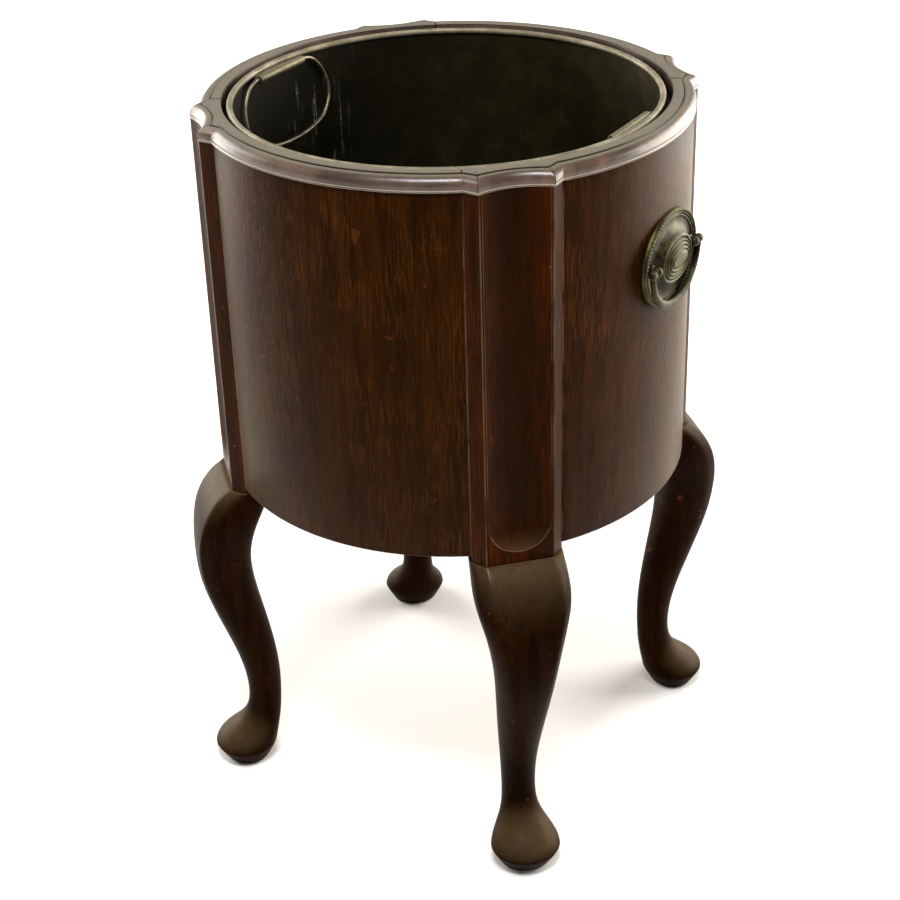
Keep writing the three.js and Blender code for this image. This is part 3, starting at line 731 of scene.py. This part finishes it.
def mark_arrises(bm):
    """Marks the narrow faces on the ridges and round the flute as rubbed, and how deep a corner
    lies in the flute, which the finish paints darker as shade."""
    wear = layer(bm.faces, "wear")
    hollow = layer(bm.verts, "hollow")
    for face in bm.faces:
        centre = face.calc_center_median()
        depth = RIDGE_RADIUS - centre.x
        from_ridge = abs(abs(centre.y) - RIDGE_HALF_WIDTH)
        face[wear] = depth < 0.4 and (from_ridge < 0.4 or (depth > 0.03 and from_ridge > 1))
    for vert in bm.verts:
        depth = RIDGE_RADIUS - vert.co.x
        if abs(vert.co.y) < FLUTE_HALF_WIDTH and depth < FLUTE_DEPTH + 1:
            vert[hollow] = min(depth / FLUTE_DEPTH, 1)


def make_pilaster(name, angle):
    nose = PILASTER_BOTTOM + FLUTE_FOOT + FLUTE_HALF_WIDTH
    rings = [pilaster_ring(PILASTER_BOTTOM, 0)]
    for turn in steps_between(0, pi / 2, 24):
        rings.append(pilaster_ring(nose - FLUTE_HALF_WIDTH * cos(turn), sin(turn)))
    rings.append(pilaster_ring(RIM_BOTTOM - SEAT_GAP, 1))
    bm = loft(rings)
    bmesh.ops.remove_doubles(bm, verts=bm.verts, dist=1e-4)
    bmesh.ops.dissolve_degenerate(bm, edges=bm.edges, dist=1e-4)
    bmesh.ops.recalc_face_normals(bm, faces=bm.faces)
    mark_arrises(bm)
    return finish_piece(
        bm, f"fluted_stile_{name}", "tub", pilaster_mahogany, [f"pilaster_{name}"],
        angle, sharp=32,
    )


pilasters = [make_pilaster(name, angle) for name, angle in CORNERS.items()]
print("pilaster faces:", faces(pilasters))

# %% [markdown]
# ## Rim mouldings
# A round-topped moulding crowns the wall, and it breaks forward over every pilaster with a mitre
# at each corner. One thumb-shaped section is enough: it is carried along the wall and out to the
# corner for the long pieces, and along the hollow front for the short ones.

# %% Make the rim mouldings
QUIRK_RADIUS = 177.1
MOULDING_RADIUS = 186.4
RIM_HEIGHT = 10.8
FOOT = [(0, 0), (1, 0), (1, 0.08)]
ROUND = [
    (0.95, 0.13), (0.985, 0.34), (0.92, 0.57), (0.77, 0.76), (0.54, 0.90), (0.24, 0.96), (0, 0.91),
]
THUMB = [Vector(pair) for pair in FOOT] + flowing([Vector(pair) for pair in ROUND], 4)
CORNER_OUT = Vector((191.7, 26.7))
CORNER_IN = Vector((181.1, 24.6))
INNER_HOLLOW = 4


def rim_ring(inner, outer):
    """The thumb section, stretched from the inner to the outer place."""
    ring = []
    for across, up in THUMB:
        point = inner.lerp(outer, across)
        ring.append(Vector((point.x, point.y, RIM_BOTTOM + up * RIM_HEIGHT)))
    return ring


def rim_mark(place):
    """Rubbed along the foot, grimy along the quirk, and plain where two pieces meet in a mitre."""
    if place.z < RIM_BOTTOM + 2:
        return 1
    return -1 if place.xy.length < QUIRK_RADIUS + 6.4 else 0


def finish_rim(bm, name, node, angle):
    soften(bm, 0.45, angle=40, mark=rim_mark)
    return finish_piece(bm, name, "tub", rim_mahogany, [node], angle, sharp=30)


def mitre_point(corner, side):
    """The break's corner as the long moulding beside it meets it."""
    place = Vector((corner.x, -side * (corner.y + SEAT_GAP)))
    place.rotate(Matrix.Rotation(side * pi / 4, 2))
    return place


def make_long_moulding(name, angle):
    inner_corner = Vector((CORNER_IN.x + SEAT_GAP, CORNER_IN.y))
    first, last = [
        rim_ring(mitre_point(inner_corner, side), mitre_point(CORNER_OUT, side))
        for side in (-1, 1)
    ]
    along = [
        rim_ring(polar(QUIRK_RADIUS + SEAT_GAP, turn, 0), polar(MOULDING_RADIUS, turn, 0))
        for turn in steps_between(-PANEL_EDGE, PANEL_EDGE, 40)
    ]
    bm = loft([first, *along, last])
    return finish_rim(bm, f"thumb_moulding_{name}", f"rim_moulding_{name}", angle)


def hollow_line(corner, depth):
    """A shallow hollow from one corner of a break to the other."""
    return [
        Vector((corner.x - depth * (1 - share**2), corner.y * share))
        for share in steps_between(-1, 1, 24)
    ]


def make_break(name, angle):
    inner = [point + Vector((SEAT_GAP, 0)) for point in hollow_line(CORNER_IN, INNER_HOLLOW)]
    outer = hollow_line(CORNER_OUT, FLUTE_DEPTH)
    bm = loft([rim_ring(*pair) for pair in zip(inner, outer)])
    return finish_rim(bm, f"break_moulding_{name}", f"rim_break_{name}", angle)


mouldings = [make_long_moulding(name, angle) for name, angle in SIDES.items()]
breaks = [make_break(name, angle) for name, angle in CORNERS.items()]
print("rim mouldings:", len(mouldings), "breaks:", len(breaks))

# %% [markdown]
# ## The flat band inside the moulding
# Four sawn segments make the flat ring that hides the top of the wall and leaves the liner its
# opening. Each is a plain section whose outer edge follows the moulding's inner foot.

# %% Make the flat band
OPENING_RADIUS = 168.7


def make_band(name, angle):
    hollow = hollow_line(CORNER_IN, INNER_HOLLOW)
    line = [(point.length, atan2(point.y, point.x)) for point in hollow]
    line += [(QUIRK_RADIUS, turn + pi / 4) for turn in steps_between(-PANEL_EDGE, PANEL_EDGE, 40)]
    end = pi / 2 - JUNCTION - SEAT_GAP / OPENING_RADIUS
    within = [place for place in line if place[1] < end]
    places = [(QUIRK_RADIUS, -JUNCTION), *within, (QUIRK_RADIUS, end)]
    rings = []
    for radius, turn in places:
        foot = [polar(side, turn, RIM_BOTTOM) for side in (OPENING_RADIUS, radius)]
        top = [polar(side, turn, TOTAL_HEIGHT) for side in (radius, OPENING_RADIUS)]
        rings.append(foot + top)
    return finish_rim(loft(rings), f"flat_band_{name}", f"rim_band_{name}", angle)


bands = [make_band(name, angle) for name, angle in CORNERS.items()]
print("band faces:", faces(bands))

# %% [markdown]
# ## Cabriole legs
# A cabriole leg is sawn from a square block in two directions and then rounded with a spokeshave,
# so its section runs from a squarish knee to a round ankle and swells again into the pad. The
# rings here are a cage, and a subdivision surface gives it the shaved roundness. Creases keep an
# edge where the maker left one: at the top and the sole, round the pad, and down both corners of
# the knee, where it fades away.

# %% Make the four cabriole legs
LEG_HEIGHT = 278.9
LEG_BACK = 163.3
LEG_REACH = 60.2
LEG_HALF_WIDTH = 35.5
# Height, front, back and half width as shares, and how round the section is.
LEG_ROWS = [
    (1.000, 0.500, -0.185, 1.000, 0.00), (0.980, 0.640, -0.118, 1.010, 0.00),
    (0.950, 0.760, -0.034, 1.025, 0.00), (0.910, 0.866, 0.056, 1.040, 0.01),
    (0.865, 0.938, 0.142, 0.990, 0.04), (0.815, 0.984, 0.210, 0.880, 0.11),
    (0.765, 0.999, 0.248, 0.795, 0.22), (0.710, 0.996, 0.258, 0.718, 0.36),
    (0.645, 0.957, 0.232, 0.658, 0.52), (0.570, 0.860, 0.168, 0.605, 0.70),
    (0.490, 0.740, 0.092, 0.549, 0.86), (0.405, 0.600, 0.024, 0.484, 0.97),
    (0.320, 0.490, -0.018, 0.418, 1.00), (0.245, 0.450, -0.018, 0.384, 1.00),
    (0.195, 0.462, -0.004, 0.386, 1.00), (0.158, 0.515, 0.010, 0.410, 1.00),
    (0.125, 0.650, 0.034, 0.500, 1.00), (0.095, 0.850, 0.060, 0.665, 1.00),
    (0.070, 0.970, 0.088, 0.780, 1.00), (0.053, 1.000, 0.104, 0.806, 1.00),
    (0.036, 0.960, 0.140, 0.742, 1.00), (0.015, 0.895, 0.195, 0.648, 1.00),
    (0.000, 0.840, 0.240, 0.575, 1.00),
]
# Half of the knee's section, from its front to its back, as shares of depth and width.
KNEE_HALF = [
    (1.00, 0.00), (0.998, 0.38), (0.985, 0.735), (0.87, 0.885), (0.74, 1.00),
    (0.48, 1.00), (0.20, 0.95), (0.04, 0.76), (0.00, 0.38), (0.00, 0.00),
]
ARRIS = 2
PAD_ROW = 19


def leg_ring(row):
    """The leg's section at one height, between the square knee and the round ankle."""
    height, front_share, back_share, width_share, roundness = row
    front = LEG_BACK + front_share * LEG_REACH
    back = LEG_BACK + back_share * LEG_REACH
    half_width = width_share * LEG_HALF_WIDTH
    half = []
    for i, (deep, wide) in enumerate(KNEE_HALF):
        turn = pi * i / (len(KNEE_HALF) - 1)
        square = Vector((back + deep * (front - back), wide * half_width))
        disc = Vector(((front + back) / 2 + (front - back) / 2 * cos(turn), half_width * sin(turn)))
        half.append(square.lerp(disc, roundness))
    mirrored = [Vector((point.x, -point.y)) for point in reversed(half[1:-1])]
    return [Vector((point.x, point.y, height * LEG_HEIGHT)) for point in half + mirrored]


def crease_line(bm, line, creases, rubbed=True):
    """Keeps the edges along a line firm under subdivision, and can mark its corners as rubbed."""
    crease = layer(bm.edges, "crease_edge")
    wear = layer(bm.verts, "wear")
    places = {tuple(round(c, 2) for c in point): i for i, point in enumerate(line)}
    for edge in bm.edges:
        steps = [places.get(tuple(round(c, 2) for c in vert.co)) for vert in edge.verts]
        if None not in steps:
            edge[crease] = max(creases[step] for step in steps)
            for vert, step in zip(edge.verts, steps):
                vert[wear] = max(vert[wear], rubbed * creases[step])


def make_leg(name, angle):
    rings = [leg_ring(row) for row in LEG_ROWS]
    bm = loft(rings)
    fading = [max(1 - 0.09 * i, 0) for i in range(len(rings))]
    for corner in (ARRIS, -ARRIS):
        crease_line(bm, [ring[corner] for ring in rings], fading)
    crease_line(bm, rings[PAD_ROW], [0.9] * len(rings[PAD_ROW]))
    crease_line(bm, rings[0], [1] * len(rings[0]), rubbed=False)
    crease_line(bm, rings[-1], [0.5] * len(rings[-1]), rubbed=False)
    piece = finish_piece(
        bm, f"cabriole_leg_{name}", "tub", leg_mahogany, [f"leg_{name}"],
        angle, sharp=180,
    )
    smooth = piece.modifiers.new("shaved_round", "SUBSURF")
    smooth.levels = smooth.render_levels = 2
    return piece


leg_mahogany = dark_mahogany(
    "leg_mahogany", deep="0f0501", warm="1c0b02", glow="361905", arris="8a7058",
    gloss=0.02, haze=0.03, dust=0.60, steep=0.95,
)
legs = [make_leg(name, angle) for name, angle in CORNERS.items()]
print("leg cage faces:", faces(legs))

# %% [markdown]
# ## The brass liner
# The liner is a straight bucket of thin sheet, a little narrower at the floor, with its top edge
# rolled round a wire. It is a shape from the lathe, so its profile is spun a full turn: out along
# the floor, up the outside, round the bead, down the inside and back to the middle.

# %% Spin the liner
LINER_TOP = 581.9
LINER_BOTTOM = 291.5
LINER_SHEET = 1.2
BEAD_RADIUS = 2.4
BEAD_CENTRE = 161.9
LINER_MOVE = (1.107, -3.075, 0)
LINER_TAPER = 4
WALL_RADIUS = BEAD_CENTRE + LINER_SHEET / 2
FLOOR_RADIUS = WALL_RADIUS - LINER_TAPER
CORNER_RADIUS = 9


def arc(centre, radius, turns):
    """Points on a circle, for a profile."""
    return [(centre[0] + radius * cos(turn), centre[1] + radius * sin(turn)) for turn in turns]


def liner_profile():
    start = -pi / 2 + asin(LINER_SHEET / (2 * BEAD_RADIUS))
    round_bead = steps_between(start, pi - start, 18)
    bead = arc((BEAD_CENTRE, LINER_TOP - BEAD_RADIUS), BEAD_RADIUS, round_bead)
    corner = (FLOOR_RADIUS - CORNER_RADIUS, LINER_BOTTOM + CORNER_RADIUS)
    outside = arc(corner, CORNER_RADIUS, steps_between(-pi / 2, 0, 8))
    inside = arc(corner, CORNER_RADIUS - LINER_SHEET, steps_between(0, -pi / 2, 8))
    return [(0, LINER_BOTTOM), *outside, *bead, *inside, (0, LINER_BOTTOM + LINER_SHEET)]


def make_liner():
    bm = turned(liner_profile(), 160)
    return finish_piece(
        bm, "brass_bucket", "liner", liner_brass, ["liner"], 0, LINER_MOVE, 50
    )


liner = make_liner()
print("liner faces:", faces([liner]))

# %% [markdown]
# ## Hinge tubes and lifting bails
# Two wire loops lift the liner out. Each turns in a straight tube that is soldered inside the rim,
# where it cuts across the curve. The tube is spun as a hollow sleeve, a strip of solder joins it to
# the rim, and the loop is a round wire whose middle line flows through a few measured points.

# %% Solder the hinge tubes
TUBE_OFFSET = 152.2415
TUBE_HEIGHT = LINER_TOP - 5.1
TUBE_HALF = 29
TUBE_RADIUS = 3.2
WIRE_RADIUS = 1.5
BORE_GAP = 0.4
BEAD_INNER = BEAD_CENTRE - BEAD_RADIUS


def make_tube(name, angle):
    bore = WIRE_RADIUS + BORE_GAP
    section = [(bore, -1), (TUBE_RADIUS, -1), (TUBE_RADIUS, 1), (bore, 1), (bore, -1)]
    bm = turned([(radius, end * TUBE_HALF) for radius, end in section], 28)
    soften(bm, 0.3, angle=50)
    put(bm, pi / 2, "X", (TUBE_OFFSET, 0, TUBE_HEIGHT))
    add_shape(bm, loft([web_ring(y) for y in steps_between(-TUBE_HALF, TUBE_HALF, 24)]))
    return finish_piece(
        bm, f"hinge_tube_{name}", "liner", tube_brass, [f"liner_tube_{name}"],
        angle, LINER_MOVE,
    )


def web_ring(y):
    """The soldered strip between the tube and the bead, cut across at one place."""
    reach = sqrt((BEAD_INNER - SEAT_GAP) ** 2 - y**2)
    near = TUBE_OFFSET + TUBE_RADIUS * 0.8
    half = TUBE_RADIUS / 2
    section = [(near, -half), (reach, -half), (reach, half), (near, half)]
    return [Vector((x, y, TUBE_HEIGHT + up)) for x, up in section]


tubes = [make_tube(name, angle) for name, angle in PAIR.items()]
print("hinge tubes:", [tube.name for tube in tubes])

# %% Bend the lifting bails
BAIL_HALF_WIDTH = 55.5
BAIL_DROP = 56.5
LOOP = [
    (0.60, 0.000), (0.76, 0.055), (0.89, 0.180), (0.97, 0.330), (1.00, 0.500),
    (0.965, 0.655), (0.88, 0.775), (0.73, 0.885), (0.50, 0.955), (0.25, 0.990),
]


def bail_lean():
    """How far the loop leans in, so that its widest place clears the liner's wall."""
    widest = 0.5 * BAIL_DROP
    share = (TUBE_HEIGHT - widest - LINER_BOTTOM) / (LINER_TOP - LINER_BOTTOM)
    wall = FLOOR_RADIUS + LINER_TAPER * share - 2 * LINER_SHEET
    chord = sqrt(wall**2 - (BAIL_HALF_WIDTH + WIRE_RADIUS) ** 2)
    return asin((TUBE_OFFSET + WIRE_RADIUS + SEAT_GAP - chord) / widest)


def wire_ring(centre, along, normal, across, deep, sides):
    """An oval cut across a wire that runs along the given line."""
    side = along.cross(normal)
    turns = [2 * pi * (k + 0.5) / sides for k in range(sides)]
    return [centre + side * (across * cos(turn)) + normal * (deep * sin(turn)) for turn in turns]


def make_bail(name, angle):
    lean = bail_lean()
    down = Vector((-sin(lean), 0, -cos(lean)))
    side = Vector((0, 1, 0))
    start = Vector((TUBE_OFFSET, 0, TUBE_HEIGHT))
    half = [(TUBE_HALF, 0)]
    half += [(across * BAIL_HALF_WIDTH, drop * BAIL_DROP) for across, drop in LOOP]
    other_half = [(-across, drop) for across, drop in reversed(half)]
    loop = [*half, (0, BAIL_DROP), *other_half]
    points = [start + side * across + down * drop for across, drop in loop]
    line = flowing(points, 5)
    normal = down.cross(side).normalized()
    rings = []
    for i, point in enumerate(line):
        along = (line[(i + 1) % len(line)] - line[i - 1]).normalized()
        rings.append(wire_ring(point, along, normal, WIRE_RADIUS, WIRE_RADIUS, 12))
    bm = closed_loft(rings)
    return finish_piece(
        bm, f"lifting_bail_{name}", f"bail_{name}", bail_brass,
        [f"liner_bail_{name}"], angle, LINER_MOVE, 60,
    )


bails = [make_bail(name, angle) for name, angle in PAIR.items()]
print("bail faces:", faces(bails))

# %% [markdown]
# ## Stamped handle plates
# The back plate was stamped from thin brass: a row of beads round the edge, a cupped field, and
# narrow rings that climb a domed boss in the middle. Oval rings with a shared centre give the whole
# relief. They are inset in parallel, so the boss is longer than it is high, as on the real plate.

# %% Stamp the oval back plates
PLATE_SEAT = BODY_RADIUS + SEAT_GAP
PLATE_CENTRE = 482
PLATE_HALF_WIDTH = 44
PLATE_HALF_HEIGHT = 36.3
PLATE_RELIEF = 11
# Inset as a share of the half height, and relief as a share of the whole.
PLATE_FRONT = [
    (0.000, 0.00), (0.010, 0.15), (0.034, 0.24), (0.060, 0.20), (0.076, 0.12), (0.098, 0.20),
    (0.120, 0.20), (0.138, 0.11), (0.160, 0.17), (0.180, 0.16), (0.200, 0.08), (0.290, 0.05),
    (0.380, 0.13), (0.455, 0.34), (0.505, 0.58), (0.535, 0.68), (0.565, 0.69), (0.590, 0.58),
    (0.615, 0.66), (0.640, 0.74), (0.664, 0.66), (0.690, 0.74), (0.716, 0.83), (0.742, 0.74),
    (0.770, 0.82), (0.798, 0.90), (0.824, 0.81), (0.855, 0.86), (0.890, 0.94), (0.930, 0.95),
]
PLATE_BACK = [(0.930, 0.88), (0.640, 0.50), (0.525, 0.44), (0.430, 0.02)]
BEADS = 84
BEAD_LINE = (0.20 * PLATE_RELIEF, 0.951 * PLATE_HALF_WIDTH, 0.941 * PLATE_HALF_HEIGHT)
SMALL_BEAD = 1.3


def plate_ring(pair):
    inset, relief = pair
    inset = inset * PLATE_HALF_HEIGHT
    return [
        Vector((
            PLATE_SEAT + relief * PLATE_RELIEF,
            (PLATE_HALF_WIDTH - inset) * cos(turn),
            PLATE_CENTRE + (PLATE_HALF_HEIGHT - inset) * sin(turn),
        ))
        for turn in steps_between(0, 2 * pi, 96)[:-1]
    ]


def make_plate(name, angle):
    front = [Vector(pair) for pair in PLATE_FRONT]
    rows = PLATE_BACK + flowing(front, 3)
    bm = loft([plate_ring(row) for row in rows])
    proud, wide, high = BEAD_LINE
    for turn in steps_between(0, 2 * pi, BEADS)[:-1]:
        place = (PLATE_SEAT + proud, wide * cos(turn), PLATE_CENTRE + high * sin(turn))
        there = Matrix.Translation(place)
        bmesh.ops.create_icosphere(bm, subdivisions=2, radius=SMALL_BEAD, matrix=there)
    return finish_piece(
        bm, f"stamped_plate_{name}", "tub", handle_brass,
        [f"handle_plate_{name}"], angle, sharp=60,
    )


plates = [make_plate(name, angle) for name, angle in PAIR.items()]
print("plate faces:", faces(plates))

# %% [markdown]
# ## Posts and drops
# Two round-headed posts pass through the plate and the wall, and the drop turns on a pin in each
# head. The posts, the knuckles and the pins are turned on a lathe, and the drop is a flattened rod
# along half an ellipse that is broadest in the middle, where the fingers go.

# %% Turn the posts
HEAD_CENTRE = PLATE_SEAT + 6.2
HEAD_RADIUS = 3.9
COLLAR_RADIUS = 3.4
SHANK_RADIUS = 2.2
SHANK_END = 2.4
PIVOT_HEIGHT = PLATE_CENTRE + 1.4
POST_OFFSET = 32
NUT_RADIUS = 4.2
NUT_SEAT = sqrt(WALL_INSIDE**2 - (POST_OFFSET + NUT_RADIUS) ** 2) - SEAT_GAP


def make_post(side_name, angle, end_name, sign):
    neck = -acos(COLLAR_RADIUS / HEAD_RADIUS)
    ball = arc((0, HEAD_CENTRE), HEAD_RADIUS, steps_between(neck, pi / 2, 12))
    back = NUT_SEAT - SHANK_END
    foot = PLATE_SEAT + 2.2
    shank = [(0, back), (SHANK_RADIUS, back), (SHANK_RADIUS, foot)]
    flange = [(4.4, foot), (4.6, foot + 0.5), (3.9, foot + 1), (COLLAR_RADIUS, foot + 1.2)]
    bm = turned([*shank, *flange, *ball[:-1], (0, HEAD_CENTRE + HEAD_RADIUS)], 32)
    soften(bm, 0.2, angle=50)
    flip = 1 if side_name == "right" else -1
    put(bm, pi / 2, "Y", (0, sign * flip * POST_OFFSET, PIVOT_HEIGHT))
    return finish_piece(
        bm, f"turned_post_{side_name}_{end_name}", "tub", handle_brass,
        [f"handle_post_{side_name}_{end_name}"], angle,
    )


posts = [
    make_post(name, angle, end, sign)
    for name, angle in PAIR.items()
    for end, sign in (("front", -1), ("rear", 1))
]
print("posts:", [post.name for post in posts])

# %% Bend the drops
DROP_HALF = 39.2
DROP_HEIGHT = 35.6
DROP_NARROW = 4.2
DROP_SWELL = 3.2
DROP_HALF_DEPTH = 2.2
KNUCKLE = [
    (0, -2.3), (2.7, -2.3), (3.4, -1.6), (3.4, -0.9), (2.9, -0.5), (3.4, 0), (3.4, 1.2),
    (2.6, 2.3), (0, 2.3),
]
PIN = [(0, -4), (1.35, -4), (1.35, 4), (0, 4)]
PIN_INSET = 5.5


def make_drop(name, angle):
    rings = []
    normal = Vector((1, 0, 0))
    for turn in steps_between(-pi / 2, pi / 2, 56):
        height = PIVOT_HEIGHT - DROP_HEIGHT * cos(turn)
        centre = Vector((HEAD_CENTRE, DROP_HALF * sin(turn), height))
        along = Vector((0, DROP_HALF * cos(turn), DROP_HEIGHT * sin(turn))).normalized()
        across = (DROP_NARROW + DROP_SWELL * cos(turn)) / 2
        rings.append(wire_ring(centre, along, normal, across, DROP_HALF_DEPTH, 16))
    bm = loft(rings)
    for sign in (-1, 1):
        knuckle = turned(KNUCKLE, 28)
        soften(knuckle, 0.6, angle=50)
        pin = turned(PIN, 16)
        for shape, out in ((knuckle, DROP_HALF), (pin, DROP_HALF - PIN_INSET)):
            put(shape, pi / 2, "X", (HEAD_CENTRE, sign * out, PIVOT_HEIGHT))
            add_shape(bm, shape)
    return finish_piece(
        bm, f"drop_bail_{name}", f"drop_{name}", drop_brass,
        [f"handle_drop_{name}"], angle, sharp=50,
    )


drops = [make_drop(name, angle) for name, angle in PAIR.items()]
print("drop faces:", faces(drops))

# %% [markdown]
# ## Parts that keep their CAD shape
# The board, the screws and the nuts are right as they are. Only their materials are exchanged.

# %% Dress the CAD nodes that stay
def dress(material, *names):
    for name in names:
        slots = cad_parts[name].data.materials
        slots.clear()
        slots.append(material)


dress(pine, "bottom_board")
dress(steel, *[f"leg_screw_{name}" for name in CORNERS])
nuts = [f"handle_nut_{side}_{end}" for side in PAIR for end in ("front", "rear")]
dress(handle_brass, *nuts)
kept = [name for name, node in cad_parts.items() if not node.hide_render]
print("CAD nodes kept:", kept)
